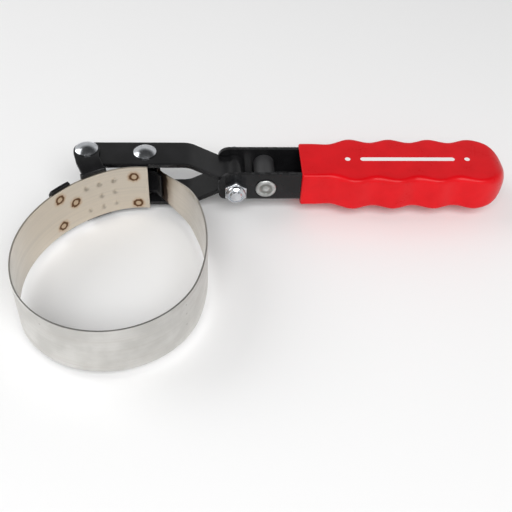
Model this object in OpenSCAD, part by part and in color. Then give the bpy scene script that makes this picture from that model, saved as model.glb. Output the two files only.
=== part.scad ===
// Swivel-handle oil filter wrench: a flexible steel band, the two brackets on
// its ends, a folded yoke that draws the ends together, and a channel handle
// with a moulded grip that swivels on the yoke's eye.
// The origin is the centre of the band's round seat, at half the band's height.
// +Z is the filter's axis, and the handle points along +X.

/* [Band] */
// Inside radius of the round seat that bears on the filter
seat_r = 39; // [37:0.5:41]
// Thickness of the band strip
band_t = 0.8; // [0.6:0.1:1]
// Height of the band
band_h = 25; // [22:0.5:26]
// Radius of the slack right side
right_r = 76; // [70:1:82]
// Radius of the right shoulder, under the pull rivet
shoulder_r = 30.7; // [29:0.1:32]
// Radius of the left side
left_r = 51.7; // [50:0.1:53]
// Radius of the upper left side, where the bracket is welded
crown_r = 59; // [57:0.5:61]
// Radius of the tongue, inside the ring's open end
tongue_r = 36; // [34:0.5:38]

/* [Brackets] */
// Thickness of the end bracket's steel
bracket_t = 1.5; // [1.2:0.1:1.6]
// Radius of the ears round the pivot rivet
ear_r = 6.1; // [5.8:0.1:6.5]
// Thickness of the pull link's strap
link_t = 1.2; // [1:0.1:1.3]
// Height of the pull link
link_h = 13; // [10:0.5:16]

/* [Yoke] */
// Thickness of the yoke strip
yoke_t = 2; // [1.6:0.1:2.2]
// Width of the yoke strip
yoke_w = 16.8; // [16:0.1:17]
// Gap between the yoke's arms
yoke_gap = 21; // [20.6:0.1:22]
// Distance between the pivot rivet and the pull rivet
rivet_pitch = 27.2; // [26.5:0.1:28]
// Radius of the rivet shanks
rivet_r = 3; // [2.6:0.1:3.2]
// Radius of the rivet heads
rivet_head_r = 5.4; // [5:0.1:5.6]

/* [Swivel] */
// Distance of the swivel bolt from the seat's centre, along the handle
bolt_x = 55; // [53:0.5:57]
// Distance of the swivel bolt from the seat's centre, across the handle
bolt_y = 68.5; // [68:0.1:69]
// Radius of the swivel bolt's shank
bolt_r = 3; // [2.8:0.1:3]
// Width across the flats of the bolt head and the nut
hex_w = 10; // [9.5:0.5:10.5]

/* [Handle] */
// Width of the handle channel
channel_w = 21.5; // [21.3:0.1:22]
// Height of the handle channel
channel_h = 16.1; // [15:0.1:17]
// Thickness of the handle channel's steel
channel_t = 2; // [1.8:0.1:2]
// Length of the channel beyond the swivel bolt
channel_len = 124; // [110:1:126]
// Distance of the stop rivet from the swivel bolt
stop_x = 14.5; // [14:0.1:16]
// Start of the grip beyond the swivel bolt
grip_start = 31.5; // [26:0.5:34]
// End of the grip beyond the swivel bolt
grip_end = 133.2; // [130:1:138]
// Width of the grip's plain collar
collar_w = 25.5; // [25:0.1:26.5]
// Height of the grip
grip_h = 18.4; // [18:0.1:20]
// Width of the grip over the finger swells
swell_w = 33.4; // [31:0.1:34]
// Depth of the hollows between the swells, on each side
hollow = 1.9; // [1.5:0.1:3]
// Distance between the swells
swell_pitch = 20; // [18:0.5:20.5]

/* [Hidden] */
$fn = 120;
e = 0.01;

// Running clearances: round a pin, and between faces that slide past each other
pin_gap = 0.1;
face_gap = 0.3;

// Every second arc is this much thinner on each face, and runs into its
// neighbours by the angle lap, so that a row of arcs makes one solid
hair = 0.01;
lap = 0.6;
neck_lap = 0.3;

// Directions, in degrees from +X, at which one arc of the band meets the next
seat_a0 = 198;
seat_a1 = 343;
right_a1 = 383.4;
left_a0 = 157.7;
crown_a0 = 112.1;
tongue_a0 = 83.8;

// Middle of the strip in the seat, and the centres of the arcs that follow it
seat_m = seat_r + band_t / 2;
right_c = polar([0, 0], seat_m - right_r, seat_a1);
shoulder_c = polar(right_c, right_r - shoulder_r, right_a1);
left_c = polar([0, 0], seat_m - left_r, seat_a0);
crown_c = polar(left_c, left_r - crown_r, left_a0);
tongue_c = polar(crown_c, crown_r - tongue_r, crown_a0);

// The rivets stand a little outside the yoke's centre line
rivet_offset = 0.8;
rivet_y = bolt_y + rivet_offset;
pivot_p = [-15.2, rivet_y];
pull_p = [pivot_p.x + rivet_pitch, rivet_y];

// The neck is straight: it leaves the shoulder on a tangent through the pull rivet
to_pull = pull_p - shoulder_c;
neck_from = norm(to_pull);
neck_a = atan2(to_pull.y, to_pull.x) - acos(shoulder_r / neck_from);
neck_len = sqrt(neck_from * neck_from - shoulder_r * shoulder_r);
neck_split = 16;
neck_end = 9;
tail_gap = 0.4;
tail_h = 16;
taper_end = 42;
taper_reach = 9;

// Yoke heights, and the eye at its folded end
arm_z = yoke_gap / 2 + yoke_t / 2;
arm_top = yoke_gap / 2 + yoke_t;
arm_end_x = pivot_p.x + 2.8;
bend_x = bolt_x - 25.1;
neck_x = bolt_x - 6.2;
neck_z = 3.15;
eye_r = bolt_r + pin_gap;
eye_mid = eye_r + yoke_t / 2;
eye_open = 128;

// End bracket: its zones along the crown arc, and their heights
tab_a = [130, 141.5];
ear_a = [113.2, 125];
ear_root_a = [113.7, 124.5];
ear_bite = 0.6;
ear_waist = pivot_p - [3.4, 9.8];
web_end_a = 89;
web_h = 20;
tab_h = 27.2;
ear_z = arm_top + face_gap;
ear_top = ear_z + bracket_t;

// Rivet heads
head_rise = 2.2;
tail_rise = 2;

// Pull link: the loop round the spacer, and the leaves that clamp the neck
spacer_r = 4;
loop_gap = 0.7;
loop_mid = spacer_r + loop_gap + link_t / 2;
leaf_off = (band_t + link_t) / 2;
leaf_d0 = 9.5;
leaf_d1 = 13;
leaf_a = atan2(leaf_off, leaf_d0) + acos(loop_mid / norm([leaf_d0, leaf_off]));

// Channel: the open space round the yoke's eye, and its corner radii
web_start = 9;
nose = 8.5;
nose_r = 6;
fold_r = 2.2;
wall_y = channel_w / 2;

// Nut, bolt and stop rivet
nut_h = 6;
hex_h = 4.2;
collar_r = 4.8;
insert_t = 1.2;
bolt_tip = 0.8;
bolt_head_h = 4;
stop_shank_r = 3;
stop_tube_r = 5.1;
stop_head_r = 6;
stop_rim_r = 5;
stop_rim_h = 1.2;
stop_bore_r = 2.6;
stop_bore_d = 0.8;

function polar(c, r, a) = [c[0] + r * cos(a), c[1] + r * sin(a)];

// An upright wall that follows an arc of centre c from angle a0 to a1
module arc_wall(c, r0, r1, a0, a1, h) {
    translate([c[0], c[1], -h / 2]) rotate([0, 0, a0])
        rotate_extrude(angle = a1 - a0) translate([r0, 0]) square([r1 - r0, h]);
}

// A full piece of the band strip along an arc of middle radius r
module strip(c, r, a0, a1) {
    arc_wall(c, r - band_t / 2, r + band_t / 2, a0, a1, band_h);
}

// A joining piece of the strip, which laps the pieces at the ends given
module joining_strip(c, r, a0, a1) {
    arc_wall(c, r - band_t / 2 + hair, r + band_t / 2 - hair, a0, a1, band_h);
}

// A flat bar of width w from p to q, with round ends
module bar(p, q, w) {
    d = q - p;
    translate(p) rotate(atan2(d[1], d[0])) translate([0, -w / 2]) square([norm(d), w]);
    translate(p) circle(d = w, $fn = 32);
    translate(q) circle(d = w, $fn = 32);
}

// Children drawn as X-Z outlines become pieces of width w across Y, centred on y
module across(y, w) {
    translate([0, y + w / 2, 0]) rotate([90, 0, 0]) linear_extrude(w) children();
}

// Places children on the pull rivet's axis, turned so that +X runs down the neck
module at_neck() {
    translate([pull_p.x, pull_p.y, 0]) rotate([0, 0, neck_a - 90]) children();
}

// The straight neck from d0 to d1 out from the pull rivet, of heights h0 and h1
module neck(d0, d1, h0, h1, thinner = 0) {
    at_neck() across(0, band_t - 2 * thinner)
        polygon([[d0, -h0 / 2], [d1, -h1 / 2], [d1, h1 / 2], [d0, h0 / 2]]);
}

// Height of the tapered neck at distance d from the pull rivet
function neck_h(d) = tail_h + (band_h - tail_h) * (d - leaf_d1) / (taper_end - leaf_d1);

// What the taper takes off the shoulder, above and below
module taper_cut() {
    at_neck() for (side = [0, 1]) mirror([0, 0, side]) across(0, 2 * taper_reach)
        polygon([[leaf_d1, tail_h / 2], [taper_end, band_h / 2], [leaf_d1, band_h]]);
}

// A domed head of radius r and height rise, on the plane z = 0
module dome(r, rise) {
    ball = (r * r + rise * rise) / (2 * rise);
    intersection() {
        translate([0, 0, rise - ball]) sphere(ball);
        cylinder(r = r, h = rise);
    }
}

// A rivet with domed ends, whose grip reaches from -z to z
module rivet(p, z) {
    translate([p[0], p[1], -z]) cylinder(r = rivet_r, h = 2 * z);
    translate([p[0], p[1], z]) dome(rivet_head_r, head_rise);
    translate([p[0], p[1], -z]) mirror([0, 0, 1]) dome(rivet_head_r - 0.4, tail_rise);
}

// A tube along Z between the yoke's arms, short of them by gap at each end
module arm_spacer(p, gap) {
    h = yoke_gap - 2 * gap;
    translate([p[0], p[1], -h / 2]) difference() {
        cylinder(r = spacer_r, h = h);
        translate([0, 0, -1]) cylinder(r = rivet_r, h = h + 2);
    }
}

// A cylinder along -Y from y0, of length l, on the axis at x beyond the bolt
module along_y(x, y0, r, l) {
    translate([bolt_x + x, y0, 0]) rotate([90, 0, 0]) cylinder(r = r, h = l);
}

module band() {
    color("gainsboro") {
        strip([0, 0], seat_m, seat_a0, seat_a1);
        joining_strip(right_c, right_r, seat_a1 - lap, right_a1 + lap);
        difference() {
            strip(shoulder_c, shoulder_r, right_a1, neck_a + 360);
            taper_cut();
        }
        joining_strip(left_c, left_r, left_a0 - lap, seat_a0 + lap);
        strip(crown_c, crown_r, crown_a0, left_a0);
        joining_strip(tongue_c, tongue_r, tongue_a0, crown_a0 + lap);
        neck(neck_split + tail_gap / 2, neck_len + neck_lap, neck_h(neck_split),
            neck_h(neck_len) - hair, hair);
    }
}

module band_tail() {
    color("gainsboro") {
        neck(leaf_d1, neck_split - tail_gap / 2, tail_h, neck_h(neck_split));
        neck(neck_end, leaf_d1, tail_h, tail_h);
    }
}

// Outline of one ear: the eye round the rivet, and the root on the web
module ear_plan() {
    root_r = crown_r + band_t / 2 + bracket_t - ear_bite;
    root_left = polar(crown_c, root_r, ear_root_a[1]);
    root_right = polar(crown_c, root_r, ear_root_a[0]);
    difference() {
        union() {
            translate(pivot_p) circle(ear_r);
            polygon([pivot_p - [ear_r - ear_bite, 0], ear_waist, root_left, crown_c,
                root_right, pivot_p + [ear_r - ear_bite, 0]]);
        }
        translate(crown_c) circle(root_r);
        translate(pivot_p) circle(rivet_r);
    }
}

module end_bracket() {
    web_in = band_t / 2;
    web_out = web_in + bracket_t;
    color("#1c1c1e") {
        arc_wall(crown_c, crown_r + web_in, crown_r + web_out, crown_a0, tab_a[1] - lap, web_h);
        arc_wall(tongue_c, tongue_r + web_in + hair, tongue_r + web_out - hair,
            web_end_a, crown_a0 + lap, web_h - 2 * hair);
        arc_wall(crown_c, crown_r + web_in + hair, crown_r + web_out - hair,
            tab_a[0], tab_a[1], tab_h);
        arc_wall(crown_c, crown_r + web_in + hair, crown_r + web_out - hair,
            ear_a[0], ear_a[1], 2 * (ear_top - hair));
        for (side = [0, 1]) mirror([0, 0, side])
            translate([0, 0, ear_z]) linear_extrude(bracket_t) ear_plan();
    }
}

// Outline of the pull link: the loop, and on each side a slanted and a flat leaf
module link_plan() {
    difference() {
        circle(loop_mid + link_t / 2);
        circle(loop_mid - link_t / 2);
        polygon([[0, 0], polar([0, 0], 20, leaf_a), [20, 0], polar([0, 0], 20, -leaf_a)]);
    }
    for (side = [0, 1]) mirror([0, side]) {
        bar(polar([0, 0], loop_mid, leaf_a), [leaf_d0, leaf_off], link_t);
        bar([leaf_d0, leaf_off], [leaf_d1, leaf_off], link_t);
    }
}

module pull_link() {
    color("#1c1c1e") at_neck() translate([0, 0, -link_h / 2]) linear_extrude(link_h) link_plan();
}

// Half of the folded yoke strip's edge-on outline, above the centre plane
module yoke_side() {
    bar([arm_end_x - yoke_w, arm_z], [bend_x, arm_z], yoke_t);
    bar([bend_x, arm_z], [neck_x, neck_z], yoke_t);
    bar([neck_x, neck_z], polar([bolt_x, 0], eye_mid, eye_open), yoke_t);
}

module yoke_eye() {
    translate([bolt_x, 0]) difference() {
        circle(eye_mid + yoke_t / 2);
        circle(eye_r);
        polygon([[0, 0], polar([0, 0], 20, eye_open), [-20, 0], polar([0, 0], 20, -eye_open)]);
    }
}

module yoke() {
    color("#1c1c1e") difference() {
        intersection() {
            across(bolt_y, yoke_w) {
                yoke_side();
                mirror([0, 1]) yoke_side();
                yoke_eye();
            }
            translate([0, 0, -arm_top - 1]) linear_extrude(2 * arm_top + 2) {
                translate([arm_end_x, bolt_y]) circle(d = yoke_w);
                translate([arm_end_x, bolt_y - yoke_w / 2]) square([2 * bolt_x, yoke_w]);
            }
        }
        translate([bolt_x, bolt_y + yoke_w, 0]) rotate([90, 0, 0])
            cylinder(r = eye_r, h = 2 * yoke_w);
        translate([pivot_p.x, pivot_p.y, -arm_top - 1])
            cylinder(r = rivet_r + pin_gap, h = 2 * arm_top + 2);
        translate([pull_p.x, pull_p.y, -arm_top - 1])
            cylinder(r = rivet_r, h = 2 * arm_top + 2);
    }
}

module pivot_rivet() {
    color("silver") rivet(pivot_p, ear_top);
}

module pivot_spacer() {
    color("dimgray") arm_spacer(pivot_p, face_gap);
}

module pull_rivet() {
    color("silver") rivet(pull_p, arm_top);
}

module pull_spacer() {
    color("dimgray") arm_spacer(pull_p, 0);
}

// Side outline of the channel, in X-Z, with its rounded nose
module channel_side() {
    half = channel_h / 2;
    translate([bolt_x, 0]) {
        translate([nose_r - nose, -half]) square([channel_len + nose - nose_r, channel_h]);
        translate([-nose, -half + nose_r]) square([nose, channel_h - 2 * nose_r]);
        for (z = [half - nose_r, nose_r - half]) translate([nose_r - nose, z]) circle(nose_r);
    }
}

// Section of the channel, in Y-Z, open at the top
module channel_section() {
    half = channel_h / 2;
    difference() {
        union() {
            translate([-wall_y, fold_r - half]) square([channel_w, channel_h - fold_r]);
            translate([fold_r - wall_y, -half]) square([channel_w - 2 * fold_r, channel_h]);
            for (y = [fold_r - wall_y, wall_y - fold_r]) translate([y, fold_r - half]) circle(fold_r);
        }
        translate([channel_t - wall_y, channel_t - half]) square([channel_w - 2 * channel_t, channel_h]);
    }
}

module handle_channel() {
    inner = channel_w - 2 * channel_t;
    color("#1c1c1e") difference() {
        intersection() {
            across(bolt_y, channel_w) channel_side();
            translate([bolt_x - nose - 1, bolt_y, 0]) rotate([90, 0, 90])
                linear_extrude(channel_len + nose + 2) channel_section();
        }
        translate([bolt_x - nose - 1, bolt_y - inner / 2, -channel_h])
            cube([nose + 1 + web_start, inner, 2 * channel_h]);
        along_y(0, bolt_y + channel_w, bolt_r, 2 * channel_w);
        along_y(stop_x, bolt_y + channel_w, stop_shank_r, 2 * channel_w);
    }
}

// A hexagonal prism along -Y from y0
module hex(y0, l) {
    translate([bolt_x, y0, 0]) rotate([90, 0, 0]) rotate(30)
        cylinder(d = hex_w / cos(30), h = l, $fn = 6);
}

module swivel_bolt() {
    color("silver") {
        hex(bolt_y + wall_y + bolt_head_h, bolt_head_h);
        along_y(0, bolt_y + wall_y + e, bolt_r, channel_w + nut_h + bolt_tip);
    }
}

module lock_nut() {
    near = bolt_y - wall_y;
    color("silver") difference() {
        union() {
            hex(near, hex_h);
            along_y(0, near, collar_r, nut_h);
        }
        along_y(0, near + 1, bolt_r, nut_h + 2);
        along_y(0, near - nut_h + insert_t, collar_r - 0.8, insert_t + 1);
    }
}

module nut_insert() {
    near = bolt_y - wall_y;
    color("lightsteelblue") difference() {
        along_y(0, near - nut_h + insert_t, collar_r - 0.8, insert_t);
        along_y(0, near, bolt_r, nut_h + 2);
    }
}

module stop_rivet() {
    near = bolt_y - wall_y;
    far = bolt_y + wall_y;
    color("silver") difference() {
        union() {
            along_y(stop_x, far + e, stop_shank_r, channel_w + 2 * e);
            along_y(stop_x, near, stop_rim_r, stop_rim_h);
            translate([bolt_x + stop_x, far, 0]) rotate([-90, 0, 0]) dome(stop_head_r, 2.5);
        }
        along_y(stop_x, near + stop_bore_d - stop_rim_h, stop_bore_r, stop_bore_d + 1);
    }
}

module stop_spacer() {
    inner = channel_w - 2 * channel_t;
    color("#1c1c1e") difference() {
        along_y(stop_x, bolt_y + inner / 2, stop_tube_r, inner);
        along_y(stop_x, bolt_y + inner, stop_shank_r, 2 * inner);
    }
}

// Half width of the grip at x beyond the bolt: collar, ramp, swells, round end
first_swell = 57;
last_swell = 117;
collar_end = 44;
end_round = 16.2;
end_power = 2.1;
function swell_at(x) = swell_w / 2 - hollow / 2
    + hollow / 2 * cos(360 * (x - first_swell) / swell_pitch);
function ramp(x) = (1 - cos(180 * (x - collar_end) / (first_swell - collar_end))) / 2;
function side_at(x) = x < collar_end ? collar_w / 2
    : x < first_swell ? collar_w / 2 + (swell_w - collar_w) / 2 * ramp(x)
    : x < last_swell ? swell_at(x) : swell_w / 2;
function end_at(x) = x < grip_end - end_round ? 1
    : pow(max(0, 1 - pow((x - grip_end + end_round) / end_round, end_power)), 1 / end_power);
function half_at(x) = side_at(x) * end_at(x);

module grip_plan() {
    steps = 64;
    xs = [for (i = [0 : steps])
        grip_start + (grip_end - grip_start) * sin(90 * i / steps)];
    translate([bolt_x, bolt_y]) polygon(concat(
        [for (x = xs) [x, half_at(x)]],
        [for (i = [steps - 1 : -1 : 0]) [xs[i], -half_at(xs[i])]]));
}

// Side outline of the grip, in X-Z, with its round end
module grip_side() {
    half = grip_h / 2;
    round_r = half - 1;
    translate([bolt_x, 0]) {
        translate([grip_start, -half]) square([grip_end - grip_start - round_r, grip_h]);
        translate([grip_end - round_r - 1, -1]) square([round_r + 1, 2]);
        for (z = [1, -1]) translate([grip_end - round_r, z]) circle(round_r);
    }
}

module grip() {
    color("#d81e26") difference() {
        intersection() {
            translate([0, 0, -grip_h]) linear_extrude(2 * grip_h) grip_plan();
            across(bolt_y, 2 * swell_w) grip_side();
        }
        translate([bolt_x, bolt_y - wall_y, -channel_h / 2])
            cube([channel_len, channel_w, channel_h]);
    }
}

band();
band_tail();
end_bracket();
pull_link();
yoke();
pivot_rivet();
pivot_spacer();
pull_rivet();
pull_spacer();
handle_channel();
swivel_bolt();
lock_nut();
nut_insert();
stop_rivet();
stop_spacer();
grip();
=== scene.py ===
from math import acos, atan2, copysign, cos, degrees, hypot, pi, radians, sin, sqrt

import bmesh
import bpy
from mathutils import Matrix, Vector


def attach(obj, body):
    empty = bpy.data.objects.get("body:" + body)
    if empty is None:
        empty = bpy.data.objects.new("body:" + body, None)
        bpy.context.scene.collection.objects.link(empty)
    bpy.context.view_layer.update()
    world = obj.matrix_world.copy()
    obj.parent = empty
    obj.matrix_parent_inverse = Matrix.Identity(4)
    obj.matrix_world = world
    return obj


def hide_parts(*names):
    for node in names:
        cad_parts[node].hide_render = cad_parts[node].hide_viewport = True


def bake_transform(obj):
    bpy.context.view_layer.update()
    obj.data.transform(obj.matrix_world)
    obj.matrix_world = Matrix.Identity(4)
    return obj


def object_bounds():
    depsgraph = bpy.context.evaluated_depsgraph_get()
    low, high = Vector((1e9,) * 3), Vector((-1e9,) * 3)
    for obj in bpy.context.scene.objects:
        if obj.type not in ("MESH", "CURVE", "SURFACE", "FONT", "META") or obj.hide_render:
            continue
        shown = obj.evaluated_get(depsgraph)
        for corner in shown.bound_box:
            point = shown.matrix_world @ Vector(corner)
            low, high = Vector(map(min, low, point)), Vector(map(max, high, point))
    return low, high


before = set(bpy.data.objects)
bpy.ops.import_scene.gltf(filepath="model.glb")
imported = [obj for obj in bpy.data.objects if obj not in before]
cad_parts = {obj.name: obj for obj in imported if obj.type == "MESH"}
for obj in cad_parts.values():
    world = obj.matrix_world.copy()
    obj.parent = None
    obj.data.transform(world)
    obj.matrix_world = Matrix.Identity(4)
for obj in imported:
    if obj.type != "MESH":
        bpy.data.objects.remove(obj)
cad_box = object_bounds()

# --------------------------------------
# The bench: a pale floor under the wrench, soft studio lamps, and the camera
# that looks down on the ring from the front.
mm = 0.001
floor_z = cad_box[0].z - 0.2 * mm
eye_at = Vector((40.0, -232.1, 249.7)) * mm
looking_down, turned, leaning = radians(45.51), radians(-5.27), radians(3.39)


def deselect():
    if bpy.context.object and bpy.context.object.mode == "EDIT":
        bpy.ops.object.mode_set(mode="OBJECT")
    bpy.ops.object.select_all(action="DESELECT")


floor_size, floor_middle = 6.0, (0.08, 0.3)
deselect()
bpy.ops.mesh.primitive_plane_add(size=floor_size, location=floor_middle + (floor_z,))
floor = bpy.context.object
floor.name = "floor"
floor_paint = bpy.data.materials.new("pale_floor")
floor_paint.use_nodes = True
floor_shader = floor_paint.node_tree.nodes["Principled BSDF"]
floor_shader.inputs["Base Color"].default_value = (0.93, 0.93, 0.93, 1)
floor_shader.inputs["Roughness"].default_value = 0.85
floor.data.materials.append(floor_paint)

bpy.ops.object.camera_add()
camera = bpy.context.object
turn_round = Matrix(((cos(turned), sin(turned), 0), (-sin(turned), cos(turned), 0), (0, 0, 1)))
tip_down = Matrix(((1, 0, 0), (0, sin(looking_down), cos(looking_down)),
                   (0, -cos(looking_down), sin(looking_down))))
lean_over = Matrix(((cos(leaning), sin(leaning), 0), (-sin(leaning), cos(leaning), 0), (0, 0, 1)))
camera.matrix_world = (Matrix.Translation(eye_at)
                       @ (lean_over @ tip_down @ turn_round).transposed().to_4x4())
camera.data.lens, camera.data.sensor_width, camera.data.clip_start = 55.95, 36, 0.01
camera.data.dof.use_dof = False
bpy.context.scene.camera = camera

bpy.context.scene.view_settings.view_transform = "Standard"

# The studio's walls are white and its ceiling is dark
sky = bpy.data.worlds.new("studio")
sky.use_nodes = True
sky_tree = sky.node_tree
wall_top, ceiling_from, wall_white, ceiling_grey, sky_strength = 0.50, 0.80, 1.0, 0.10, 0.60


def stretch(tree, value, low, high, to_low=0.0, to_high=1.0):
    """Eases value from its range low to high into the range to_low to to_high."""
    node = tree.nodes.new("ShaderNodeMapRange")
    node.interpolation_type = "SMOOTHSTEP"
    for socket, setting in zip(list(node.inputs)[1:5], (low, high, to_low, to_high)):
        socket.default_value = setting
    tree.links.new(value, node.inputs[0])
    return node.outputs[0]


def split_xyz(tree, place):
    """The X, Y and Z of a place, as sockets by name."""
    node = tree.nodes.new("ShaderNodeSeparateXYZ")
    tree.links.new(place, node.inputs[0])
    return node.outputs


sky_z = split_xyz(sky_tree, sky_tree.nodes.new("ShaderNodeTexCoord").outputs["Generated"])["Z"]
sky_shader = sky_tree.nodes["Background"]
sky_tree.links.new(stretch(sky_tree, sky_z, wall_top, ceiling_from, wall_white, ceiling_grey),
                   sky_shader.inputs["Color"])
sky_shader.inputs["Strength"].default_value = sky_strength
bpy.context.scene.world = sky


def lamp(name, place, width, height, watts):
    """A soft box that faces the middle of the wrench."""
    bpy.ops.object.light_add(type="AREA", location=place)
    light = bpy.context.object
    light.name = name
    light.data.shape = "RECTANGLE"
    light.data.size, light.data.size_y = width, height
    light.data.energy = watts
    away = Vector(place) - Vector((0.07, 0.04, 0))
    light.rotation_euler = away.to_track_quat("Z", "Y").to_euler()


lamp("front_box", (0.15, -0.85, 1.10), 1.4, 0.8, 17)
lamp("left_box", (-0.95, 0.35, 0.75), 0.8, 0.8, 5)

# --------------------------------------
# Strap: 0.8 mm stainless steel strip, 25 mm high, rolled into a ring. Its left end is a dimpled
# tongue, spot welded to the end bracket, and its right end tapers to the link. It is drawn in
# two halves that meet in front.
seat_r, strap_t, strap_h = 39.0, 0.8, 25.0
right_r, shoulder_r, left_r, crown_r, tongue_r = 76.0, 30.7, 51.7, 59.0, 36.0
seat_a0, seat_a1, right_a1, left_a0, crown_a0, tongue_a0 = 198.0, 343.0, 383.4, 157.7, 112.1, 83.8
seam_a = 277.0
seat_m = seat_r + strap_t / 2


def along(c, r, a):
    return (c[0] + r * cos(radians(a)), c[1] + r * sin(radians(a)))


right_c = along((0, 0), seat_m - right_r, seat_a1)
shoulder_c = along(right_c, right_r - shoulder_r, right_a1)
left_c = along((0, 0), seat_m - left_r, seat_a0)
crown_c = along(left_c, left_r - crown_r, left_a0)
tongue_c = along(crown_c, crown_r - tongue_r, crown_a0)
pivot_at, pull_at = (-15.2, 69.3), (12.0, 69.3)
to_pull = (pull_at[0] - shoulder_c[0], pull_at[1] - shoulder_c[1])
neck_from = hypot(*to_pull)
neck_a = degrees(atan2(to_pull[1], to_pull[0]) - acos(shoulder_r / neck_from))
neck_len = sqrt(neck_from ** 2 - shoulder_r ** 2)
neck_way = along((0, 0), 1, neck_a + 90)


def start_line(name, low, high, cuts=0):
    """A row of points from low to high, in millimetres, ready to be swept into a sheet."""
    deselect()
    bpy.ops.mesh.primitive_plane_add(size=mm)
    piece = bpy.context.object
    piece.name = piece.data.name = name
    bpy.ops.object.mode_set(mode="EDIT")
    bpy.ops.mesh.select_mode(type="VERT")
    bm = bmesh.from_edit_mesh(piece.data)
    for v in bm.verts:
        v.select = v.co.x > 0
    bm.select_flush_mode()
    bmesh.update_edit_mesh(piece.data)
    bpy.ops.mesh.delete(type="VERT")
    bm = bmesh.from_edit_mesh(piece.data)
    ends = sorted(bm.verts, key=lambda v: v.co.y)
    ends[0].co, ends[1].co = Vector(low) * mm, Vector(high) * mm
    bmesh.update_edit_mesh(piece.data)
    bpy.ops.mesh.select_all(action="SELECT")
    if cuts:
        bpy.ops.mesh.subdivide(number_cuts=cuts)
    return piece


def sweep(centre, angle, step, axis=(0, 0, 1)):
    """Sweeps the selected row round centre by angle degrees, in faces of about step degrees."""
    bpy.ops.mesh.spin(steps=max(1, round(abs(angle) / step)), angle=-radians(angle),
                      center=Vector(centre) * mm, axis=axis)


def push(way, count=1):
    """Extrudes the selected row along way, in millimetres, in count equal steps."""
    for _ in range(count):
        bpy.ops.mesh.extrude_region_move(
            TRANSFORM_OT_translate={"value": Vector(way) * mm / count})


def select_where(piece, test, faces=False):
    """Selects the points, or the faces, whose middle in millimetres passes test."""
    bpy.ops.mesh.select_mode(type="FACE" if faces else "VERT")
    bpy.ops.mesh.select_all(action="DESELECT")
    bm = bmesh.from_edit_mesh(piece.data)
    bm.normal_update()
    for part in (bm.faces if faces else bm.verts):
        middle = part.calc_center_median() if faces else part.co
        if test(middle / mm, part.normal):
            part.select = True
    bm.select_flush_mode()
    bmesh.update_edit_mesh(piece.data)


def tidy_up(piece):
    """Merges points that touch, turns the faces outwards, and leaves edit mode."""
    bpy.ops.mesh.select_all(action="SELECT")
    bpy.ops.mesh.remove_doubles(threshold=0.002 * mm)
    bpy.ops.mesh.select_all(action="SELECT")
    bpy.ops.mesh.normals_make_consistent(inside=False)
    bpy.ops.object.mode_set(mode="OBJECT")


def finish_with(piece, thick=0, offset=0, edge=0, segments=2, smooth=35, even=True):
    """Gives a sheet its thickness, rounds the sharp edges, and applies both."""
    bpy.context.view_layer.objects.active = piece
    if thick:
        wall = piece.modifiers.new("wall", "SOLIDIFY")
        wall.thickness, wall.offset, wall.use_even_offset = thick * mm, offset, even
        bpy.ops.object.modifier_apply(modifier=wall.name)
    if edge:
        rounding = piece.modifiers.new("rounding", "BEVEL")
        rounding.width, rounding.segments = edge * mm, segments
        rounding.limit_method, rounding.angle_limit = "ANGLE", radians(40)
        rounding.use_clamp_overlap = True
        bpy.ops.object.modifier_apply(modifier=rounding.name)
    piece.select_set(True)
    bpy.ops.object.shade_smooth_by_angle(angle=radians(smooth))


# Dimples pressed into the tongue, and the scorched spots of the spot welds
dimples = [(-14.2, 49.8, 6.6), (-8.6, 53.3, 6.4), (-2.2, 56.0, 6.4), (-8.1, 53.6, -0.8),
           (-2.1, 56.0, -0.4), (-13.8, 50.2, -7.2), (-7.9, 53.7, -8.0), (-2.0, 56.1, -7.5)]
welds = [(-24.8, 40.4, 7.9), (-19.1, 46.0, 1.4), (-25.0, 40.1, -7.9),
         (7.1, 57.7, 6.9), (8.3, 57.7, -9.4)]
dimple_r, dimple_depth, dimple_shape = 1.2, 0.85, 1.5


def press_dimples(piece):
    """Presses each dimple outwards, away from the middle of the ring."""
    for v in piece.data.vertices:
        for spot in dimples:
            away = (v.co / mm - Vector(spot)).length
            if away < 2 * dimple_r:
                out = Vector((v.co.x, v.co.y, 0)).normalized()
                depth = (0.5 + 0.5 * cos(pi * away / (2 * dimple_r))) ** dimple_shape
                v.co += out * dimple_depth * mm * depth


def thicken_half(half):
    """Gives half the strap its thickness, and leaves its end at the seam square and flat."""
    finish_with(half, thick=strap_t)
    bpy.ops.object.mode_set(mode="EDIT")
    seam_way = Vector(along((0, 0), 1, seam_a + 90) + (0,))
    select_where(half, lambda p, n: abs(p.dot(seam_way)) < 0.01 and abs(n.dot(seam_way)) > 0.9
                 and p.y < 0, faces=True)
    bpy.ops.mesh.delete(type="FACE")
    bpy.ops.object.mode_set(mode="OBJECT")
    finish_with(half, edge=0.12, segments=2)
    bpy.ops.object.mode_set(mode="EDIT")
    bpy.ops.mesh.select_mode(type="EDGE")
    bpy.ops.mesh.select_all(action="DESELECT")
    bpy.ops.mesh.select_non_manifold()
    bpy.ops.mesh.edge_face_add()
    bpy.ops.object.mode_set(mode="OBJECT")
    bpy.ops.object.shade_smooth_by_angle(angle=radians(35))


strap_cuts, fine_a = 55, 5.0
seam_at, neck_at = along((0, 0), seat_m, seam_a), (20.0, 58.0)
seam_line = (seam_at + (-strap_h / 2,), seam_at + (strap_h / 2,), strap_cuts)
strap = start_line("strap_left_half", *seam_line)
sweep((0, 0, 0), -fine_a, 0.5)
sweep((0, 0, 0), seat_a0 - seam_a + fine_a, 1.5)
sweep(left_c + (0,), left_a0 - seat_a0, 1.2)
sweep(crown_c + (0,), crown_a0 - left_a0, 0.43)
sweep(tongue_c + (0,), tongue_a0 - crown_a0, 0.7)
tidy_up(strap)
press_dimples(strap)
thicken_half(strap)

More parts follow.
